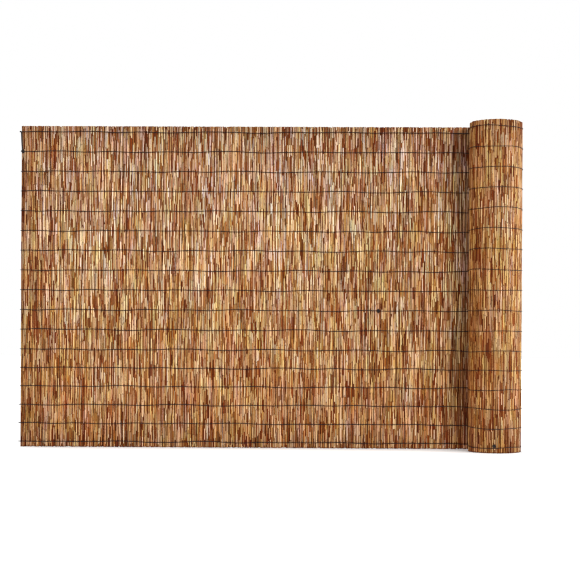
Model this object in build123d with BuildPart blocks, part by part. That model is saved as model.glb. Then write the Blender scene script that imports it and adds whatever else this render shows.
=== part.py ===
"""Reed fencing: a mat of reeds bound by rows of wire, partly unrolled, with the rest in a roll.

The unrolled panel stands along X, its reeds upright along Z. At its right-hand end the mat
curls forward (-Y) into the roll. The origin is at the bottom centre of the whole object.
"""

import math
import os
from functools import partial

from build123d import *

# Driving dimensions, in millimetres
fence_height = 1500  # length of the reeds
panel_length = 2187  # unrolled stretch, from the free edge to the axis of the roll
mat_thickness = 10  # over the crests of the reeds, front to back
eye_diameter = 90  # hollow in the middle of the roll
half_turns = 11  # of the mat in the roll
bunch_pitch = 14.5  # one ridge of the mat is one bunch of reeds
ridge_height = 0.9  # from the valley between two bunches up to their crests
valley_width = 2.4  # flat bottom of a valley
ridged_half_turns = 2  # the outermost, whose outside shows; the covered turns are smooth
gap_width = 1.6  # slit along the bottom of a valley
gap_margin = 9  # from a slit's end to the wire row beside it
gaps_per_course = 7  # slits in each course between two wire rows
gap_shift = 0.37  # sideways stagger of the slits from one course to the next, in slit spacings
wire_diameter = 1.6
wire_sides = 6  # the long thin wires are six-sided
wire_seat = 0.2  # clearance from a wire to the reeds, and between wires
wire_bend = 0.6  # inside radius of the bends at the free edge
twist_length = 8  # wire ends that stand out beyond the free edge
top_margin = 33  # reed ends above the top wire row
bottom_margin = 18  # least length of reed below the bottom wire row
upper_rows = 12  # the upper wire rows are spaced a little wider than the lower ones
upper_row_pitch = 92
lower_row_pitch = 86
loose_end_clearance = 4  # from the top row's bent-down end to the row below

# Sizes that follow
half_mat = mat_thickness / 2
wire_radius = wire_diameter / 2
wire_offset = half_mat + wire_seat + wire_radius  # from the middle of the mat to a wire
half_depth_of_mat = wire_offset + wire_radius
turn_pitch = 2 * half_depth_of_mat + wire_seat
roll_radius = eye_diameter / 2 + half_mat + (half_turns - 1) * turn_pitch / 2
roll_reach = roll_radius + half_depth_of_mat
edge_stand = wire_seat + wire_radius  # from the free edge to the wires that go round it
pair_stand = (wire_diameter + wire_seat) / 2  # from the middle of the mat to a twisted wire end
free_overhang = edge_stand + wire_radius + twist_length
left_x = -(free_overhang + panel_length + roll_reach) / 2 + free_overhang
roll_x = left_x + panel_length
mat_y = roll_radius  # middle of the panel; the axis of the outer half turn is at y = 0


def wire_rows():
    """Heights of the wire rows, from the top down."""
    heights = []
    height = fence_height - top_margin
    while height >= bottom_margin:
        heights.append(height)
        height -= upper_row_pitch if len(heights) < upper_rows else lower_row_pitch
    return heights


def half_turn(index):
    """Centre, radius and starting angle of a half turn of the mat's middle, 0 being the outermost."""
    inward = index % 2 == 1
    centre = (roll_x, -turn_pitch / 2 if inward else 0)
    return centre, roll_radius - index * turn_pitch / 2, -90 if inward else 90


def on_panel(share, offset):
    """Point of the panel at a share of its length, offset from its middle (+ is the back)."""
    return left_x + share * panel_length, mat_y + offset


def on_turn(index, share, offset):
    """Point on a half turn at a share of its sweep, offset from its middle (+ is the outside)."""
    centre, radius, start = half_turn(index)
    angle = math.radians(start - 180 * share)
    reach = radius + offset
    return centre[0] + reach * math.cos(angle), centre[1] + reach * math.sin(angle)


def bunches_in(length):
    return max(2, round(length / bunch_pitch))


def ridges(place, length, side):
    """Edges of a ridged stretch of one face, where place gives a point by its share and offset."""
    count = bunches_in(length)
    half_valley = valley_width / 2 / length
    valley = side * (half_mat - ridge_height)
    reached = place(0, valley)
    for bunch in range(count):
        foot = place(bunch / count + half_valley, valley)
        crest = place((bunch + 0.5) / count, side * half_mat)
        far_foot = place((bunch + 1) / count - half_valley, valley)
        yield Edge.make_line(reached, foot)
        yield Edge.make_three_point_arc(foot, crest, far_foot)
        reached = far_foot
    yield Edge.make_line(reached, place(1, valley))


def face_edges(side):
    """Edges along one face of the mat, from the free edge in; side is +1 for the back, -1 for the front."""
    edges = list(ridges(on_panel, panel_length, side))
    smooth_from = ridged_half_turns if side > 0 else 0
    for index in range(half_turns):
        if index < smooth_from:
            edges += ridges(partial(on_turn, index), math.pi * half_turn(index)[1], side)
            continue
        start, middle, finish = (on_turn(index, share, side * half_mat) for share in (0, 0.5, 1))
        if index == smooth_from:
            edges.append(Edge.make_line(edges[-1] @ 1, start))
        edges.append(Edge.make_three_point_arc(start, middle, finish))
    return edges


def slits(rows):
    """Centres and length of the slits in each course: they stand in valleys, between two wire rows."""
    count = bunches_in(panel_length)
    for course, (above, below) in enumerate(zip(rows, rows[1:])):
        centres = []
        for slit in range(gaps_per_course):
            share = (slit + 0.5 + gap_shift * course) / gaps_per_course % 1
            valley = min(max(round(share * count), 1), count - 1)
            centres.append((left_x + valley * panel_length / count, (above + below) / 2))
        yield centres, above - below - 2 * gap_margin


os.makedirs("parts", exist_ok=True)
rows = wire_rows()

# The reed mat: one ridged wall, flat along the panel and wound up in the roll
front_edges = face_edges(-1)
back_edges = face_edges(1)
free_edge = Edge.make_line(front_edges[0] @ 0, back_edges[0] @ 0)
inner_edge = Edge.make_line(front_edges[-1] @ 1, back_edges[-1] @ 1)
with BuildPart() as reed_mat:
    with BuildSketch():
        make_face(front_edges + [inner_edge] + back_edges + [free_edge])
    extrude(amount=fence_height)
    with BuildSketch(Plane.XZ.offset(-mat_y)):
        for centres, length in slits(rows):
            with Locations(*centres):
                Rectangle(gap_width, length)
    extrude(amount=half_mat, both=True, mode=Mode.SUBTRACT)
reed_mat.part.label = "reed_mat"
export_step(reed_mat.part, "parts/reed_mat.step")


def binding_wire(name, side, height, loose_end=0):
    """One wire along the panel and through the roll; side is +1 for the back of the mat, -1 for the front.

    At the free edge it turns round the first reeds to the middle of the mat, where its end lies
    beside the end of the other wire of its row. A loose end is bent down along the free edge.
    """
    edge_x = left_x - edge_stand
    tip_x = edge_x - wire_radius - twist_length
    pair_y = mat_y + side * pair_stand
    face_y = mat_y + side * wire_offset
    corners = [(edge_x, pair_y, height), (edge_x, face_y, height), (roll_x, face_y, height)]
    if loose_end:
        loose_x = tip_x + wire_radius
        corners = [(loose_x, pair_y, height - loose_end), (loose_x, pair_y, height)] + corners
    else:
        corners.insert(0, (tip_x, pair_y, height))
    with BuildPart() as wire:
        with BuildLine() as route:
            FilletPolyline(*corners, radius=wire_bend + wire_radius)
            for index in range(half_turns):
                centre, radius, start = half_turn(index)
                CenterArc((*centre, height), radius + side * wire_offset, start, -180)
        with BuildSketch(Plane(route.line @ 0, z_dir=route.line % 0)):
            RegularPolygon(wire_radius, wire_sides)
        sweep(transition=Transition.ROUND)
    wire.part.label = name
    export_step(wire.part, f"parts/{name}.step")


# The binding wires: two to a row, one on each face of the mat
for number, height in enumerate(rows, start=1):
    loose_end = upper_row_pitch - loose_end_clearance if number == 1 else 0
    binding_wire(f"front_wire_{number:02d}", -1, height)
    binding_wire(f"back_wire_{number:02d}", 1, height, loose_end)

mat_length = panel_length + sum(math.pi * half_turn(index)[1] for index in range(half_turns))
print(f"roll {2 * roll_reach:.1f} mm across, mat {mat_length:.0f} mm long, {len(rows)} wire rows")
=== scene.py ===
"""Looks of the reed fencing: single reeds, sheaths and binding wires, with floor, light and camera."""

import math

import bmesh
import bpy
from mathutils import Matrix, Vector


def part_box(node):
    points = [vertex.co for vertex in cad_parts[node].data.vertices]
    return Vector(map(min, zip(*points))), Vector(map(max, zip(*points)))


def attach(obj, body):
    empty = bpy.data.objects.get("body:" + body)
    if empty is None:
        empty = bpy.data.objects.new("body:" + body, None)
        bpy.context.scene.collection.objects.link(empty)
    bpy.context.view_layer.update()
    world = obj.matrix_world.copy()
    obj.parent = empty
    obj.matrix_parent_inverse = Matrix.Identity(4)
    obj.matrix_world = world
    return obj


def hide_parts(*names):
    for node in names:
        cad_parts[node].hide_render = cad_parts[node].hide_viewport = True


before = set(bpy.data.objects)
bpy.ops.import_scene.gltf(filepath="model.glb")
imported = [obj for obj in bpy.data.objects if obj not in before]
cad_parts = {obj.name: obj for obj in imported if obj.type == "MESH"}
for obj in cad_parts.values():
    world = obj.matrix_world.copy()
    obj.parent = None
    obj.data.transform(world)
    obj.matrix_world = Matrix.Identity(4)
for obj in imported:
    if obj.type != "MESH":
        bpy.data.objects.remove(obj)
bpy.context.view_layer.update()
scene = bpy.context.scene

# Sizes of the mat, the roll and the wires, in metres
half_mat = 0.005
turn_pitch = 0.0138
half_turns = 11
shown_half_turns = 2  # the outermost, which cover the others
turn_steps = 48  # straight steps of a half turn's path
bunch_pitch = 0.0145  # one ridge of the mat is one bunch of reeds
half_bunch = 0.5  # in bunches
valley_share = 0.20  # of a bunch, from the bottom of a valley to where the reeds stand full out
wire_radius = 0.0010  # of one strand
wire_sides = 4
strands_per_row = 2
wire_offset = 0.0060  # from the middle of the mat to the wires
edge_stand = 0.0010  # from the free edge to the wires that go round it
stub_length = 0.0025  # wire ends beyond the free edge
long_stub = 0.0075  # of the rows whose twisted ends stand out
full_wander = 4.0  # plain starts from a wire's end to where it wanders fully

# Sizes read from the frame
mat_low, mat_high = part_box("reed_mat")
fence_height = mat_high.z
left_x = mat_low.x  # the free edge
panel_y = mat_high.y - half_mat  # middle of the panel
roll_radius = panel_y  # of the outermost half turn, whose axis is at y = 0
roll_x = mat_high.x - half_mat - roll_radius
front_nodes = sorted(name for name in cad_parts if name.startswith("front_wire_"))
back_nodes = sorted(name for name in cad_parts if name.startswith("back_wire_"))
row_heights = [sum(corner.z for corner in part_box(name)) / 2 for name in front_nodes]

# Places in the noise, so that no two reeds or rows are alike
noise_low, noise_high = 0.25, 0.75  # nearly all of the noise lies between these
bows_per_metre = 4.0
bow_stride = 900.0  # from reed to reed
tone_stride = 731.0  # from reed to reed
wanders_per_metre = 5.0
row_stride = 37.7  # from row to row


# Paths along the mat, seen from above

def half_turn(index):
    """Points of the middle of one half turn of the mat, 0 being the outermost."""
    inward = index % 2 == 1
    centre_y = -turn_pitch / 2 if inward else 0
    radius = roll_radius - index * turn_pitch / 2
    start = -math.pi / 2 if inward else math.pi / 2
    for number in range(turn_steps + 1):
        angle = start - math.pi * number / turn_steps
        yield Vector((roll_x + radius * math.cos(angle), centre_y + radius * math.sin(angle), 0))


def turns(first, last):
    """Points of the middle of the half turns from first up to last."""
    points = list(half_turn(first))
    for index in range(first + 1, last):
        points += list(half_turn(index))[1:]
    return points


# Nodes, for shapes and finishes alike

def add(tree, kind, inputs, **settings):
    """Adds a node. Inputs go by name or number, each with a socket to link or a plain value."""
    made = tree.nodes.new(kind)
    for key, value in settings.items():
        setattr(made, key, value)
    for key, value in inputs.items():
        if isinstance(value, bpy.types.NodeSocket):
            tree.links.new(value, made.inputs[key])
        else:
            made.inputs[key].default_value = value
    return made


def maths(tree, operation, first, second=0.0):
    return add(tree, "ShaderNodeMath", {0: first, 1: second}, operation=operation).outputs[0]


def stepped(tree, value, low, high, from_out=0.0, to_out=1.0):
    """A value between low and high, brought between two others."""
    inputs = {0: value, 1: low, 2: high, 3: from_out, 4: to_out}
    return add(tree, "ShaderNodeMapRange", inputs).outputs[0]


def scaled(tree, vector, factor):
    inputs = {0: vector, "Scale": factor}
    return add(tree, "ShaderNodeVectorMath", inputs, operation="SCALE").outputs[0]


def summed(tree, first, second):
    return add(tree, "ShaderNodeVectorMath", {0: first, 1: second}, operation="ADD").outputs[0]


def split(tree, vector):
    """The three numbers of a vector."""
    return add(tree, "ShaderNodeSeparateXYZ", {0: vector}).outputs


def vector_of(tree, **axes):
    return add(tree, "ShaderNodeCombineXYZ", axes).outputs[0]


# Geometry trees

def new_tree(name, inputs):
    """A geometry tree with these named inputs, and its input sockets by name."""
    tree = bpy.data.node_groups.new(name, "GeometryNodeTree")
    tree.interface.new_socket("Geometry", in_out="INPUT", socket_type="NodeSocketGeometry")
    for label, kind in inputs.items():
        tree.interface.new_socket(label, in_out="INPUT", socket_type="NodeSocket" + kind)
    tree.interface.new_socket("Geometry", in_out="OUTPUT", socket_type="NodeSocketGeometry")
    return tree, tree.nodes.new("NodeGroupInput").outputs


def sideways(tree, along):
    """Level direction square to the path: towards the front on the panel, inwards on the roll."""
    inputs = {0: along, 1: (0, 0, 1)}
    return add(tree, "ShaderNodeVectorMath", inputs, operation="CROSS_PRODUCT").outputs[0]


def drawn(tree, low, high, seed, number):
    """A random number for each reed, the same wherever it is read."""
    inputs = {2: low, 3: high, "Seed": maths(tree, "ADD", seed, number)}
    return add(tree, "FunctionNodeRandomValue", inputs, data_type="FLOAT").outputs[1]


def swing(tree, place, amount):
    """Smooth noise from -amount to amount along a place."""
    inputs = {"W": place, "Scale": 1.0, "Detail": 0.0}
    noise = add(tree, "ShaderNodeTexNoise", inputs, noise_dimensions="1D").outputs[0]
    return maths(tree, "MULTIPLY", stepped(tree, noise, noise_low, noise_high, -1.0, 1.0), amount)


def moved(tree, geometry, shift):
    return add(tree, "GeometryNodeSetPosition", {"Geometry": geometry, "Offset": shift}).outputs[0]


def stored(tree, geometry, name, value, kind="FLOAT", domain="POINT"):
    """Keeps a value on a geometry as a named attribute."""
    inputs = {"Geometry": geometry, "Name": name, "Value": value}
    made = add(tree, "GeometryNodeStoreNamedAttribute", inputs, data_type=kind, domain=domain)
    return made.outputs[0]


def read(tree, name, kind):
    """The value of a named attribute."""
    return add(tree, "GeometryNodeInputNamedAttribute", {"Name": name}, data_type=kind).outputs[0]


def captured(tree, geometry, *fields):
    """Keeps fields, each a (name, kind, socket), as they are here. Gives the geometry, then the fields."""
    made = add(tree, "GeometryNodeCaptureAttribute", {"Geometry": geometry}, domain="POINT")
    for name, kind, socket in fields:
        made.capture_items.new(kind, name)
    for place, (name, kind, socket) in enumerate(fields, start=1):
        tree.links.new(socket, made.inputs[place])
    return made.outputs[:len(fields) + 1]


def strip_map(tree, geometry, number, count, rows):
    """Lays each repeat out in a strip of its own on the flat map, in that many rows of strips."""
    across, along = split(tree, read(tree, "strip", "FLOAT_VECTOR"))[:2]
    per_row = maths(tree, "CEIL", maths(tree, "DIVIDE", count, rows))
    column = maths(tree, "MODULO", number, per_row)
    row = maths(tree, "FLOOR", maths(tree, "DIVIDE", number, per_row))
    across = maths(tree, "DIVIDE", maths(tree, "ADD", column, across), per_row)
    along = maths(tree, "DIVIDE", maths(tree, "ADD", row, along), rows)
    kept = stored(tree, geometry, "OFBake", vector_of(tree, X=across, Y=along), "FLOAT2", "CORNER")
    return add(tree, "GeometryNodeRemoveAttribute", {"Geometry": kept, "Name": "strip"}).outputs[0]


def finished(tree, geometry, material):
    """Ends a tree in a smooth mesh of that material."""
    smooth = add(tree, "GeometryNodeSetShadeSmooth", {"Geometry": geometry}).outputs[0]
    inputs = {"Geometry": smooth, "Material": material}
    dressed = add(tree, "GeometryNodeSetMaterial", inputs).outputs[0]
    tree.links.new(dressed, tree.nodes.new("NodeGroupOutput").inputs[0])


def reed_tree():
    """Reeds stood side by side along a path."""
    tree, given = new_tree("reeds_along_path", {
        "Reed": "Object", "Count": "Int", "Bunches": "Int", "Valley": "Float", "Height": "Float",
        "Depth": "Float", "Depth Spread": "Float", "Side Spread": "Float",
        "Thinnest": "Float", "Thickest": "Float", "Flatness": "Float",
        "Shortest": "Float", "Longest": "Float", "Lean": "Float", "Bow": "Float",
        "Strip Rows": "Int", "Seed": "Int", "Material": "Material",
    })
    seed = given["Seed"]
    curve = add(tree, "GeometryNodeMeshToCurve", {"Mesh": given["Geometry"]}).outputs[0]
    inputs = {"Curve": curve, "Count": given["Count"]}
    spots = add(tree, "GeometryNodeCurveToPoints", inputs, mode="COUNT").outputs
    along = spots["Tangent"]
    front = sideways(tree, along)

    # Where each reed stands: sunk in the valleys between bunches, and a little off the line
    index = add(tree, "GeometryNodeInputIndex", {}).outputs[0]
    bunch = maths(tree, "MULTIPLY", maths(tree, "DIVIDE", index, given["Count"]), given["Bunches"])
    from_valley = maths(tree, "PINGPONG", maths(tree, "ADD", bunch, half_bunch), half_bunch)
    valley = stepped(tree, from_valley, valley_share, 0.0)
    sunk = maths(tree, "SUBTRACT", 1.0, maths(tree, "MULTIPLY", valley, given["Valley"]))
    depth_draw = drawn(tree, -1.0, 1.0, seed, 1)
    depth = maths(tree, "ADD", maths(tree, "MULTIPLY", given["Depth"], sunk),
                  maths(tree, "MULTIPLY", depth_draw, given["Depth Spread"]))
    side = maths(tree, "MULTIPLY", drawn(tree, -1.0, 1.0, seed, 2), given["Side Spread"])
    length = drawn(tree, given["Shortest"], given["Longest"], seed, 3)
    spare = maths(tree, "SUBTRACT", given["Height"], length)
    foot = maths(tree, "MULTIPLY", spare, drawn(tree, 0.0, 1.0, seed, 4))
    shift = summed(tree, scaled(tree, front, depth), scaled(tree, along, side))
    shift = summed(tree, shift, vector_of(tree, Z=foot))
    placed = moved(tree, spots["Points"], shift)
    seeded = stored(tree, placed, "reed_seed", drawn(tree, 0.0, 1.0, seed, 5))
    # kept for the painted shade in the valleys
    seeded = stored(tree, seeded, "reed_valley", valley)
    points, number = captured(tree, seeded, ("Number", "INT", index))

    # The reeds themselves
    heading = split(tree, along)
    turn = maths(tree, "ARCTAN2", heading[1], heading[0])
    lean = maths(tree, "MULTIPLY", drawn(tree, -1.0, 1.0, seed, 6), given["Lean"])
    rotation = add(tree, "FunctionNodeEulerToRotation", {0: vector_of(tree, Y=lean, Z=turn)}).outputs[0]
    radius = drawn(tree, given["Thinnest"], given["Thickest"], seed, 7)
    thin = maths(tree, "MULTIPLY", radius, given["Flatness"])
    size = vector_of(tree, X=radius, Y=thin, Z=length)
    pattern = add(tree, "GeometryNodeObjectInfo", {"Object": given["Reed"]}).outputs["Geometry"]
    inputs = {"Points": points, "Instance": pattern, "Rotation": rotation, "Scale": size}
    stood = add(tree, "GeometryNodeInstanceOnPoints", inputs).outputs[0]
    reeds = add(tree, "GeometryNodeRealizeInstances", {"Geometry": stood}).outputs[0]

    # Each bowed along the mat in a way of its own
    own = read(tree, "reed_seed", "FLOAT")
    height = split(tree, add(tree, "GeometryNodeInputPosition", {}).outputs[0])[2]
    bow_place = maths(tree, "ADD", maths(tree, "MULTIPLY", height, bows_per_metre),
                      maths(tree, "MULTIPLY", own, bow_stride))
    bowed = moved(tree, reeds, scaled(tree, along, swing(tree, bow_place, given["Bow"])))
    mapped = strip_map(tree, bowed, number, given["Count"], given["Strip Rows"])
    finished(tree, mapped, given["Material"])
    return tree


def wire_tree():
    """Strands of wire along a route, at each row two that are twisted round each other.

    They sink between the bunches of reeds and wander a little up and down.
    """
    tree, given = new_tree("wire_rows", {
        "Strands": "Object", "Strand Count": "Int", "Radius": "Float", "Step": "Float",
        "Plain Start": "Float", "Inward": "Float", "Bunch": "Float", "Sink": "Float", "Wander": "Float",
        "Twist": "Float", "Twist Length": "Float", "Material": "Material",
    })
    curve = add(tree, "GeometryNodeMeshToCurve", {"Mesh": given["Geometry"]}).outputs[0]
    inputs = {"Curve": curve, "Length": given["Step"]}
    route = add(tree, "GeometryNodeResampleCurve", inputs, mode="LENGTH").outputs[0]
    spline = add(tree, "GeometryNodeSplineParameter", {}).outputs
    tangent = add(tree, "GeometryNodeInputTangent", {}).outputs[0]
    route, reach, share, along = captured(
        tree, route, ("Reach", "FLOAT", spline["Length"]), ("Share", "FLOAT", spline["Factor"]),
        ("Along", "VECTOR", tangent))
    inputs = {"Resolution": wire_sides, "Radius": given["Radius"]}
    ring = add(tree, "GeometryNodeCurvePrimitiveCircle", inputs).outputs[0]
    round_ring = add(tree, "GeometryNodeSplineParameter", {}).outputs["Factor"]
    ring, around = captured(tree, ring, ("Round", "FLOAT", round_ring))
    inputs = {"Curve": route, "Profile Curve": ring, "Fill Caps": True}
    wire = add(tree, "GeometryNodeCurveToMesh", inputs).outputs[0]
    wire = stored(tree, wire, "strip", vector_of(tree, X=around, Y=share), "FLOAT2", "CORNER")

    # One for each strand
    rows = add(tree, "GeometryNodeObjectInfo", {"Object": given["Strands"]}).outputs["Geometry"]
    index = add(tree, "GeometryNodeInputIndex", {}).outputs[0]
    points, strand = captured(tree, rows, ("Number", "INT", index))
    repeated = add(tree, "GeometryNodeInstanceOnPoints", {"Points": points, "Instance": wire}).outputs[0]
    wires = add(tree, "GeometryNodeRealizeInstances", {"Geometry": repeated}).outputs[0]

    # Twisted in pairs, sunk between the bunches and wandering
    row = maths(tree, "FLOOR", maths(tree, "DIVIDE", strand, strands_per_row))
    row_place = maths(tree, "MULTIPLY", row, row_stride)
    turn = maths(tree, "MULTIPLY", maths(tree, "DIVIDE", reach, given["Twist Length"]), 2 * math.pi)
    turn = maths(tree, "ADD", turn, maths(tree, "MULTIPLY", strand, math.pi))
    eased = maths(tree, "MULTIPLY", given["Plain Start"], full_wander)
    past_start = stepped(tree, reach, given["Plain Start"], eased)
    bunch_place = maths(tree, "ADD", maths(tree, "DIVIDE", reach, given["Bunch"]), row_place)
    dip = maths(tree, "ABSOLUTE", swing(tree, bunch_place, given["Sink"]))
    dip = maths(tree, "MULTIPLY", maths(tree, "MULTIPLY", dip, past_start), given["Inward"])
    dip = maths(tree, "ADD", dip, maths(tree, "MULTIPLY", maths(tree, "COSINE", turn), given["Twist"]))
    wander_place = maths(tree, "ADD", maths(tree, "MULTIPLY", reach, wanders_per_metre), row_place)
    lift = maths(tree, "MULTIPLY", swing(tree, wander_place, given["Wander"]), past_start)
    lift = maths(tree, "ADD", lift, maths(tree, "MULTIPLY", maths(tree, "SINE", turn), given["Twist"]))
    shift = summed(tree, scaled(tree, sideways(tree, along), dip), vector_of(tree, Z=lift))
    mapped = strip_map(tree, moved(tree, wires, shift), strand, given["Strand Count"], 1)
    finished(tree, mapped, given["Material"])
    return tree


# Shapes

def polyline(name, points):
    """An object of points joined in a row, apart from the scene."""
    mesh = bpy.data.meshes.new(name)
    mesh.from_pydata(points, [(n, n + 1) for n in range(len(points) - 1)], [])
    return bpy.data.objects.new(name, mesh)


def shaped(name, points, tree, values):
    """Runs a tree along a path of points and keeps the result as a plain mesh."""
    piece = polyline(name, points)
    scene.collection.objects.link(piece)
    modifier = piece.modifiers.new("shape", "NODES")
    modifier.node_group = tree
    sockets = {s.name: s.identifier for s in tree.interface.items_tree if s.in_out == "INPUT"}
    for label, value in values.items():
        modifier[sockets[label]] = value
    graph = bpy.context.evaluated_depsgraph_get()
    piece.data = bpy.data.meshes.new_from_object(
        piece.evaluated_get(graph), preserve_all_data_layers=True, depsgraph=graph)
    piece.data.name = name
    piece.modifiers.clear()
    return piece


# Places on the strip of the flat map that a reed is laid out in, as shares of the strip
strip_left, strip_width = 0.06, 0.88
foot_v, side_low, side_high, rim_v, bore_v, lid_v = 0.012, 0.03, 0.95, 0.965, 0.975, 0.985
lid_middle, lid_width, lid_depth = 0.5, 0.3, 0.008

# The hollow at the cut end of a reed, as shares of its radius and length
bore_rim, bore_floor = 0.62, 0.56
bore_floor_height = 0.994


def unit_reed(name, sides, profile, hollow):
    """A reed of length 1 and radius 1, from rings of (height, radius), with a bore at the top if hollow."""
    reed = bmesh.new()
    strip = reed.loops.layers.uv.new("strip")

    def ring(height, radius):
        angles = [2 * math.pi * n / sides for n in range(sides)]
        return [reed.verts.new((radius * math.cos(a), radius * math.sin(a), height)) for a in angles]

    def band(lower, upper, low_v, high_v):
        for n in range(sides):
            m = (n + 1) % sides
            face = reed.faces.new((lower[n], lower[m], upper[m], upper[n]))
            corners = ((n, low_v), (n + 1, low_v), (n + 1, high_v), (n, high_v))
            for loop, (column, v) in zip(face.loops, corners):
                loop[strip].uv = (strip_left + strip_width * column / sides, v)

    def lid(verts, v):
        for loop in reed.faces.new(verts).loops:
            spot = loop.vert.co
            loop[strip].uv = (lid_middle + lid_width * spot.x, v + lid_depth * spot.y)

    rings = [ring(height, radius) for height, radius in profile]
    side_v = [side_low + (side_high - side_low) * height for height, radius in profile]
    for lower, upper, low_v, high_v in zip(rings, rings[1:], side_v, side_v[1:]):
        band(lower, upper, low_v, high_v)
    lid(rings[0][::-1], foot_v)
    if hollow:
        end_radius = profile[-1][1]
        rim = ring(1, bore_rim * end_radius)
        floor = ring(bore_floor_height, bore_floor * end_radius)
        band(rings[-1], rim, side_high, rim_v)
        band(rim, floor, rim_v, bore_v)
        lid(floor, lid_v)
    else:
        lid(rings[-1], lid_v)
    mesh = bpy.data.meshes.new(name)
    reed.to_mesh(mesh)
    reed.free()
    return bpy.data.objects.new(name, mesh)


# Finishes

def new_material(name):
    material = bpy.data.materials.new(name)
    material.use_nodes = True
    tree = material.node_tree
    return material, tree, tree.nodes["Principled BSDF"].inputs


def object_place(tree):
    return add(tree, "ShaderNodeTexCoord", {}).outputs["Object"]


def attribute(tree, name):
    return add(tree, "ShaderNodeAttribute", {}, attribute_name=name).outputs["Fac"]


def openness(tree, distance):
    """How open a place is, from 0 in a crevice that is narrower than the distance to 1."""
    return add(tree, "ShaderNodeAmbientOcclusion", {"Distance": distance}, samples=8).outputs["AO"]


def ramp(tree, factor, stops):
    made = add(tree, "ShaderNodeValToRGB", {"Fac": factor})
    elements = made.color_ramp.elements
    while len(elements) < len(stops):
        elements.new(1.0)
    for element, (position, colour) in zip(elements, stops):
        element.position = position
        element.color = (*colour, 1)
    return made.outputs[0]


def mixed(tree, share, first, second, blend="MIX"):
    inputs = {0: share, 6: first, 7: second}
    return add(tree, "ShaderNodeMix", inputs, data_type="RGBA", blend_type=blend).outputs[2]


def tinted(tree, colour, tint, share=1.0):
    """A colour multiplied by a tint, as far as the share says."""
    return mixed(tree, share, colour, tint, "MULTIPLY")


def linear(red, green, blue):
    """A colour given in screen values from 0 to 255."""
    screen = (red / 255, green / 255, blue / 255)
    return tuple(c / 12.92 if c <= 0.04045 else ((c + 0.055) / 1.055) ** 2.4 for c in screen)


# Dry reed: colours in screen values, tints in shares of red, green and blue
reed_tones = [(92, 38, 7), (122, 61, 22), (151, 100, 55), (177, 134, 88), (205, 169, 124), (232, 201, 160)]
sheath_tones = [(85, 32, 5), (122, 59, 20), (155, 105, 58), (183, 143, 99), (212, 177, 132),
                (237, 207, 168)]
first_tone, tone_span = 0.08, 0.82  # places of the tones on their ramp
joint_tone = (62, 30, 14)
cut_tone = (226, 192, 152)  # of the reeds' cut ends
no_tint = (1.0, 1.0, 1.0)
warmth_tints = [(0.05, (0.85, 1.00, 1.46)), (0.5, no_tint), (0.95, (1.17, 1.00, 0.57))]
blush_tints = [(0.05, (1.06, 0.92, 1.13)), (0.5, no_tint), (0.95, (0.96, 1.06, 0.90))]
gold_tints = [(0.30, (0.97, 0.99, 1.27)), (0.50, no_tint), (0.70, (1.02, 1.01, 0.74))]
olive_tints = [(0.30, (1.02, 0.88, 0.84)), (0.50, no_tint), (0.70, (0.97, 1.11, 1.12))]
# painted shade in the gaps between the reeds, warm like bounced light
crevice_shade_tints = [(0.1, (0.36, 0.18, 0.08)), (0.75, no_tint)]
# painted shade in the valleys between bunches
valley_shade_tint = (0.62, 0.52, 0.46, 1)
weather_and_shade_tints = [  # from the foot up: partly weathering, partly painted shade, darker at the foot and the top
    (0.0, (0.96, 0.85, 0.79)),
    (0.14, (0.94, 0.81, 0.74)),
    (0.27, (0.99, 0.93, 0.85)),
    (0.48, (1.06, 1.05, 1.04)),
    (0.6, (1.07, 1.10, 1.18)),
    (0.86, (1.01, 1.04, 1.23)),
    (1.0, (0.93, 0.94, 1.13)),
]
gold_pattern, olive_pattern = 0.0, 7.0
patch_scale = (30, 30, 8)
fibre_scale = (900, 900, 18)
crevice_width = 0.008

# Steps of the reed finish: from low to high, brought between two other values
tint_by_tone = (0.1, 0.9, 1.0, 0.25)  # pale reeds are tinted less
joint_by_distance = (0.015, 0.040, 1.0, 0.0)
shade_by_fibre = (0.3, 0.7, 0.75, 1.22)
roughness_by_fibre = (0.2, 0.8, 0.55, 0.85)
cut_by_facing = (0.6, 0.9)
cut_by_height = (fence_height - 0.03, fence_height - 0.02)
joint_darkness = 0.5
joint_relief = 0.8


def patches(tree, place, number):
    """Soft patches a few fingers wide and a hand tall, another pattern for each number."""
    stretched = add(tree, "ShaderNodeMapping", {"Vector": place, "Scale": patch_scale}).outputs[0]
    inputs = {"Vector": stretched, "W": number, "Scale": 1.0, "Detail": 2.0}
    return add(tree, "ShaderNodeTexNoise", inputs, noise_dimensions="4D").outputs[0]


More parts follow.
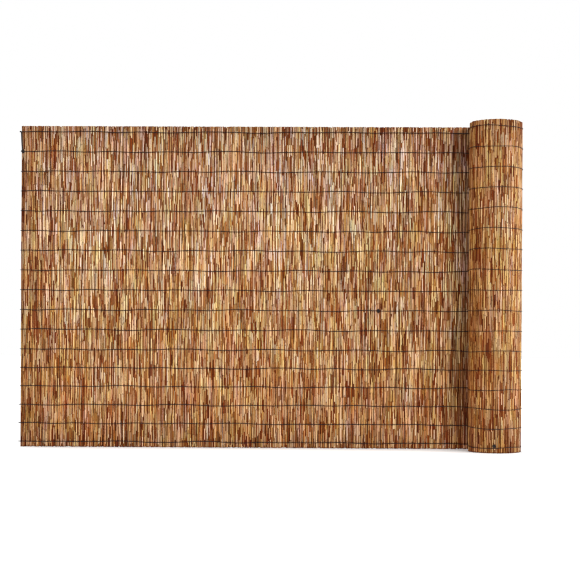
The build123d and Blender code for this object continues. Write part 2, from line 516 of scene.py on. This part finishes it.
def reed_finish(name, length, own_share, tones, tint, weather_and_shade_share, painted_shading):
    """Dry reed in lengths of dark sheath, rust, tan and straw, dark at the joints, with painted shade in
    the gaps.

    A painted shading is a colour of painted shade or light, with the places across and from front to back
    where it starts and is full.
    """
    material, tree, shader = new_material(name)
    place = object_place(tree)
    place_x, place_y, height = split(tree, place)
    own = attribute(tree, "reed_seed")

    # The tone of each length, some of it the reed's own
    run = maths(tree, "ADD", maths(tree, "DIVIDE", height, length),
                maths(tree, "MULTIPLY", own, tone_stride))
    cells = add(tree, "ShaderNodeTexVoronoi", {"W": run, "Scale": 1.0}, voronoi_dimensions="1D")
    draws = add(tree, "ShaderNodeSeparateColor", {0: cells.outputs["Color"]}).outputs
    own_draw = add(tree, "ShaderNodeTexWhiteNoise", {"W": own}, noise_dimensions="1D").outputs["Value"]
    tone = maths(tree, "ADD", maths(tree, "MULTIPLY", draws[0], 1 - own_share),
                 maths(tree, "MULTIPLY", own_draw, own_share))
    last = len(tones) - 1
    colour = ramp(tree, tone, [(first_tone + tone_span * number / last, linear(*shade))
                               for number, shade in enumerate(tones)])
    tint_share = stepped(tree, tone, *tint_by_tone)
    colour = tinted(tree, colour, ramp(tree, draws[1], warmth_tints), tint_share)
    colour = tinted(tree, colour, ramp(tree, draws[2], blush_tints), tint_share)

    # Joints, fibres, cut ends, and painted shade in the valleys between bunches and in the gaps
    from_joint = add(tree, "ShaderNodeTexVoronoi", {"W": run, "Scale": 1.0},
                     voronoi_dimensions="1D", feature="DISTANCE_TO_EDGE").outputs["Distance"]
    joint = stepped(tree, from_joint, *joint_by_distance)
    joint_share = maths(tree, "MULTIPLY", joint, joint_darkness)
    colour = mixed(tree, joint_share, colour, (*linear(*joint_tone), 1))
    stretched = add(tree, "ShaderNodeMapping", {"Vector": place, "Scale": fibre_scale}).outputs[0]
    inputs = {"Vector": stretched, "Scale": 1.0, "Detail": 2.0}
    fibre = add(tree, "ShaderNodeTexNoise", inputs).outputs[0]
    colour = scaled(tree, colour, stepped(tree, fibre, *shade_by_fibre))
    # painted shade on the reeds sunk in the valleys between bunches
    colour = tinted(tree, colour, valley_shade_tint, attribute(tree, "reed_valley"))
    facing = add(tree, "ShaderNodeNewGeometry", {}).outputs["True Normal"]
    cut = maths(tree, "MULTIPLY", stepped(tree, split(tree, facing)[2], *cut_by_facing),
                stepped(tree, height, *cut_by_height))
    colour = mixed(tree, cut, colour, (*linear(*cut_tone), 1))
    # painted shade in the gaps between the reeds, from how open each place is
    colour = tinted(tree, colour, ramp(tree, openness(tree, crevice_width), crevice_shade_tints))

    # Patches, weathering mixed with painted shade by height, an overall tint, and painted light and shade
    # beside the roll and at the free edge
    colour = tinted(tree, colour, ramp(tree, patches(tree, place, gold_pattern), gold_tints))
    colour = tinted(tree, colour, ramp(tree, patches(tree, place, olive_pattern), olive_tints))
    # weathering and painted shade by height
    weather_and_shade = ramp(tree, maths(tree, "DIVIDE", height, fence_height), weather_and_shade_tints)
    colour = tinted(tree, colour, weather_and_shade, weather_and_shade_share)
    # overall tint; on the back layers it also darkens them as painted shade
    colour = tinted(tree, colour, (*tint, 1))
    # painted light and shade, each over its own stretch of the mat
    for shade_colour, across, inwards in painted_shading:
        share = maths(tree, "MULTIPLY", stepped(tree, place_x, *across), stepped(tree, place_y, *inwards))
        colour = tinted(tree, colour, (*shade_colour, 1), share)

    tree.links.new(colour, shader["Base Color"])
    tree.links.new(stepped(tree, fibre, *roughness_by_fibre), shader["Roughness"])
    relief = maths(tree, "ADD", fibre, maths(tree, "MULTIPLY", joint, joint_relief))
    inputs = {"Height": relief, "Strength": 0.35, "Distance": 0.0006}
    tree.links.new(add(tree, "ShaderNodeBump", inputs).outputs[0], shader["Normal"])
    shader["Specular IOR Level"].default_value = 0.08
    return material


# Binding wire
wire_tones = [(0.30, linear(14, 9, 10)), (0.55, linear(28, 18, 17)), (0.75, linear(58, 34, 26))]
roughness_by_rust = (0.3, 0.7, 0.45, 0.7)


def wire_finish():
    """Dull dark binding wire with a little rust."""
    material, tree, shader = new_material("dark_wire")
    inputs = {"Vector": object_place(tree), "Scale": 60.0, "Detail": 3.0}
    rust = add(tree, "ShaderNodeTexNoise", inputs).outputs[0]
    tree.links.new(ramp(tree, rust, wire_tones), shader["Base Color"])
    tree.links.new(stepped(tree, rust, *roughness_by_rust), shader["Roughness"])
    shader["Specular IOR Level"].default_value = 0.25
    return material


# Floor
floor_tones = [(0.3, (0.86, 0.86, 0.86)), (0.7, (0.88, 0.88, 0.88))]
contact_reach = 0.22
shade_by_contact = (0.5, 0.98, 0.75, 1.0)
glow_by_contact = (0.55, 0.98, 0.16, 0.4)


def floor_finish():
    """Plain pale floor, with a painted contact shadow close to the fence."""
    material, tree, shader = new_material("pale_floor")
    inputs = {"Vector": object_place(tree), "Scale": 3.0, "Detail": 2.0}
    grain = add(tree, "ShaderNodeTexNoise", inputs).outputs[0]
    # painted contact shadow: colour and glow drop where the fence hems the floor in
    contact = openness(tree, contact_reach)
    colour = scaled(tree, ramp(tree, grain, floor_tones), stepped(tree, contact, *shade_by_contact))
    tree.links.new(colour, shader["Base Color"])
    shader["Roughness"].default_value = 0.9
    shader["Emission Color"].default_value = (1, 1, 1, 1)
    tree.links.new(stepped(tree, contact, *glow_by_contact), shader["Emission Strength"])
    return material


# Painted shade beside the roll and at the free edge, and painted warm bounce light on the roll beside the
# panel
anywhere = (1.0, 0.5)  # from front to back
# painted shade towards the free edge: a wide fade and a narrow band
edge_shade = ((0.77, 0.69, 0.62), (left_x + 0.20, left_x + 0.03), anywhere)
narrow_edge_shade = ((0.74, 0.68, 0.66), (left_x + 0.024, left_x + 0.008), anywhere)
crease_shade = ((0.76, 0.66, 0.66), (roll_x - 0.165, roll_x - 0.13), anywhere)  # painted shade on the panel, beside the roll
fold_bounce_and_shade = ((1.08, 0.86, 0.58), (roll_x - 0.01, roll_x - 0.108), (0.05, -0.02))  # painted warm bounce light and shade on the roll, beside the panel
front_look = {"tint": (0.96, 0.98, 0.97), "weather_and_shade_share": 1.0, "painted_shading": [crease_shade, edge_shade, narrow_edge_shade]}
shaded_back_look = {"tint": (0.71, 0.66, 0.57), "weather_and_shade_share": 0.6, "painted_shading": [fold_bounce_and_shade]}  # browner, and darker as painted shade on the roll and the back of the panel
reed_look = {"length": 0.055, "own_share": 0.2, "tones": reed_tones}
sheath_look = {"length": 0.12, "own_share": 0.75, "tones": sheath_tones}

front_reed_material = reed_finish("front_reed", **reed_look, **front_look)
back_reed_material = reed_finish("back_reed", **reed_look, **shaded_back_look)
front_sheath_material = reed_finish("front_sheath", **sheath_look, **front_look)
back_sheath_material = reed_finish("back_sheath", **sheath_look, **shaded_back_look)
wire_material = wire_finish()
reeds_along_path = reed_tree()
wire_rows = wire_tree()

# The reeds
cut_profile = [(0, 0.96), (0.2, 1.04), (0.42, 0.95), (0.63, 1.03), (0.83, 0.95), (1, 0.98)]
sheath_profile = [(0, 0.40), (0.08, 0.85), (0.45, 1.0), (0.90, 0.85), (1, 0.35)]
plain_profile = [(0, 1.0), (1, 0.97)]
cut_reed = unit_reed("cut_reed", 6, cut_profile, hollow=True)
sheath = unit_reed("sheath", 5, sheath_profile, hollow=False)
plain_reed = unit_reed("plain_reed", 6, plain_profile, hollow=True)
top_gap = 0.005  # from the highest reed ends to the top of the solid mat


def reed_layer(name, path, pattern, pitch, depth, radii, lengths, seed, **more):
    """One layer of reeds along a path, each about a pitch from the next."""
    run = sum((b - a).length for a, b in zip(path, path[1:]))
    values = {
        "Reed": pattern, "Count": round(run / pitch), "Bunches": round(run / bunch_pitch), "Valley": 0.35,
        "Height": fence_height - top_gap, "Depth": depth, "Depth Spread": 0.0003,
        "Side Spread": 0.25 * pitch, "Thinnest": radii[0], "Thickest": radii[1], "Flatness": 0.85,
        "Shortest": lengths[0], "Longest": lengths[1], "Lean": 0.0012, "Bow": 0.0016,
        "Strip Rows": 3, "Seed": seed, "Material": front_reed_material,
    }
    piece = shaped(name, path, reeds_along_path, values | more)
    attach(piece, "root")
    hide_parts("reed_mat")


edge_margin = 0.003  # from the free edge to the first reed
full_length = (fence_height - 0.010, fence_height - 0.006)
sheath_length = (0.05, 0.20)
panel_path = [Vector((left_x + edge_margin, panel_y, 0)), Vector((roll_x, panel_y, 0))]
outer_path = panel_path + turns(0, shown_half_turns)[1:]
back = {"Material": back_reed_material}
close = {"Bow": 0.0006, "Lean": 0.0004, "Side Spread": 0.0003}
sheaths = {"Lean": 0.006, "Flatness": 0.5, "Strip Rows": 10}
straight = {"Bow": 0.0}
reed_layer("front_reeds", panel_path, cut_reed, pitch=0.0048, depth=0.0018, radii=(0.0022, 0.0030),
           lengths=full_length, seed=11)
reed_layer("back_reeds", outer_path, cut_reed, pitch=0.0043, depth=-0.0018, radii=(0.0026, 0.0032),
           lengths=full_length, seed=12, **back, **close)
reed_layer("front_sheaths", panel_path, sheath, pitch=0.00060, depth=0.0036, radii=(0.0013, 0.0031),
           lengths=sheath_length, seed=13, Material=front_sheath_material, **sheaths)
reed_layer("back_sheaths", outer_path, sheath, pitch=0.00070, depth=-0.0036, radii=(0.0013, 0.0033),
           lengths=sheath_length, seed=14, Material=back_sheath_material, **sheaths)
reed_layer("roll_inner_reeds", turns(0, half_turns), plain_reed, pitch=0.0058, depth=0.0020,
           radii=(0.0026, 0.0034), lengths=full_length, seed=15, **straight)
reed_layer("roll_outer_reeds", turns(shown_half_turns, half_turns), plain_reed, pitch=0.0058, depth=-0.0020,
           radii=(0.0026, 0.0034), lengths=full_length, seed=16, **straight, **back)
for pattern in (cut_reed, sheath, plain_reed):
    bpy.data.objects.remove(pattern)

# The binding wires
edge_bend = 0.7  # share of the offset where a wire starts to bend round the free edge


def wire_route(side):
    """Route of a row's wires, from their end round the free edge; side is 1 for the back, -1 the front."""
    edge_x = left_x - edge_stand
    face_y = panel_y + side * wire_offset
    spots = [(edge_x - stub_length, panel_y), (edge_x, panel_y),
             (edge_x, panel_y + side * edge_bend * wire_offset), (left_x + edge_stand, face_y),
             (roll_x, face_y)]
    return [Vector((x, y, 0)) for x, y in spots]


def wire_piece(name, route, heights, nodes, **more):
    """Strands of wire along a route, one for each height."""
    strands = polyline(name + "_strands", [Vector((0, 0, height)) for height in heights])
    values = {
        "Strands": strands, "Strand Count": len(heights), "Radius": wire_radius, "Step": 0.0040,
        "Plain Start": 0.02, "Inward": 1.0, "Bunch": 0.009, "Sink": 0.0004, "Wander": 0.0032,
        "Twist": wire_radius, "Twist Length": 0.0145, "Material": wire_material,
    }
    piece = shaped(name, route, wire_rows, values | more)
    bpy.data.objects.remove(strands)
    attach(piece, "root")
    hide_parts(*nodes)


def outside(points):
    """Points of the mat's middle, moved out to the wires on its back."""
    shifted = []
    for before, point, after in zip(points[:1] + points, points, points[1:] + points[-1:]):
        out = Vector((0, 0, 1)).cross(after - before).normalized()
        shifted.append(point + out * wire_offset)
    return shifted


strand_heights = [height for height in row_heights for strand in range(strands_per_row)]
back_route = wire_route(1) + outside(turns(0, shown_half_turns))[1:]
wire_piece("front_wires", wire_route(-1), strand_heights, front_nodes, Inward=-1.0)
wire_piece("back_wires", back_route, strand_heights, back_nodes, Radius=0.0008, Twist=0.0007, Step=0.0042)

# The wire ends that stand out, and the end of the top row that is bent down along the free edge
still = {"Sink": 0.0, "Wander": 0.0, "Twist": 0.0}
end_radius = 0.0021  # of two ends twisted together
long_rows = (0, 14, 15, 16)  # from the top down
long_nodes = [nodes[number] for nodes in (front_nodes, back_nodes) for number in long_rows]
stub = [Vector((left_x - edge_stand - long_stub, panel_y, 0)), Vector((left_x + edge_stand, panel_y, 0))]
wire_piece("twisted_wire_ends", stub, [row_heights[number] for number in long_rows], long_nodes,
           Radius=end_radius, **still)
top_row, second_row = row_heights[:2]
face_y = panel_y - wire_offset
loose_steps = [(-0.0080, 0), (-0.0010, 0), (0.0005, 0.006), (0.0025, 0.05), (0.0050, 0.088)]  # across, down
loose_end = [Vector((left_x + across, face_y, top_row - down)) for across, down in loose_steps]
wire_piece("top_wire_end", loose_end, [0.0], back_nodes[:1], Radius=0.0033, **still)

# The knots that show
knot_radius = 0.0075
knot_windings = 2.5
knot_points = 24
knot_heart = 0.25  # share of its radius where a knot starts
knot_tallness = 1.2
knotted_row = 9


def knot(name, node, x, y, height):
    """A twist of spare wire, wound into a flat coil on the mat."""
    route = []
    for number in range(knot_points + 1):
        angle = 2 * math.pi * knot_windings * number / knot_points
        reach = knot_radius * (knot_heart + (1 - knot_heart) * number / knot_points)
        rise = knot_tallness * reach * math.sin(angle)
        route.append(Vector((x + reach * math.cos(angle), y, height + rise)))
    wire_piece(name, route, [0.0], [node], Step=0.0012, Radius=0.0016, **still)


knot("corner_knot", front_nodes[1], left_x + 0.007, face_y, second_row)
knot("panel_knot", front_nodes[knotted_row], left_x + 1.665, face_y, row_heights[knotted_row])
knot("roll_knot", back_nodes[-1], roll_x - 0.014, -roll_radius - wire_offset, row_heights[-1] + 0.006)

# Floor
floor_reach = 40.0
floor_mesh = bpy.data.meshes.new("floor")
floor_mesh.from_pydata([(-floor_reach, -floor_reach, 0), (floor_reach, -floor_reach, 0),
                        (floor_reach, floor_reach, 0), (-floor_reach, floor_reach, 0)], [], [(0, 1, 2, 3)])
floor_mesh.materials.append(floor_finish())
floor = bpy.data.objects.new("floor", floor_mesh)
scene.collection.objects.link(floor)
floor.visible_diffuse = False  # no glare from below

# Light
room_light = 1.02
backdrop = 1.0  # as bright as the camera sees it
world = bpy.data.worlds.new("studio")
scene.world = world
world.use_nodes = True
world_tree = world.node_tree
background = world_tree.nodes["Background"].inputs
background["Color"].default_value = (1, 1, 1, 1)
sight = add(world_tree, "ShaderNodeLightPath", {}).outputs["Is Camera Ray"]
world_tree.links.new(stepped(world_tree, sight, 0, 1, room_light, backdrop), background["Strength"])


def soft_light(name, place, aim, size, power):
    """A flat rectangular light that points at its aim."""
    light = bpy.data.lights.new(name, "AREA")
    light.shape = "RECTANGLE"
    light.size, light.size_y = size
    light.energy = power
    lamp = bpy.data.objects.new(name, light)
    lamp.location = place
    lamp.rotation_euler = (Vector(aim) - Vector(place)).to_track_quat("-Z", "Y").to_euler()
    scene.collection.objects.link(lamp)


half_height = fence_height / 2
soft_light("key", place=(7.6, -12.3, 4.0), aim=(0, panel_y, half_height), size=(3.6, 2.4), power=1450)
soft_light("rim", place=(5.5, -0.9, 1.6), aim=(roll_x, 0, half_height), size=(1.0, 2.0), power=145)

# Camera
picture_width = 580  # in pixels
eye_right = 1.331  # from the free edge
eye_distance = 6.23  # from the face of the panel
panel_face = 0.0055  # from the middle of the panel
eye_height = 0.486
rise = 53.6  # in pixels: the eye is low, and the picture is taken level
tilt, turn = -0.3, 0.69  # in degrees
camera_data = bpy.data.cameras.new("camera")
camera_data.sensor_width = 36.0
camera_data.lens = 83.2
camera_data.shift_y = rise / picture_width
camera = bpy.data.objects.new("camera", camera_data)
camera.location = (left_x + eye_right, panel_y - panel_face - eye_distance, eye_height)
camera.rotation_euler = (math.pi / 2, math.radians(tilt), math.radians(turn))
scene.collection.objects.link(camera)
scene.camera = camera
scene.view_settings.view_transform = "Standard"
scene.cycles.filter_width = 1.2
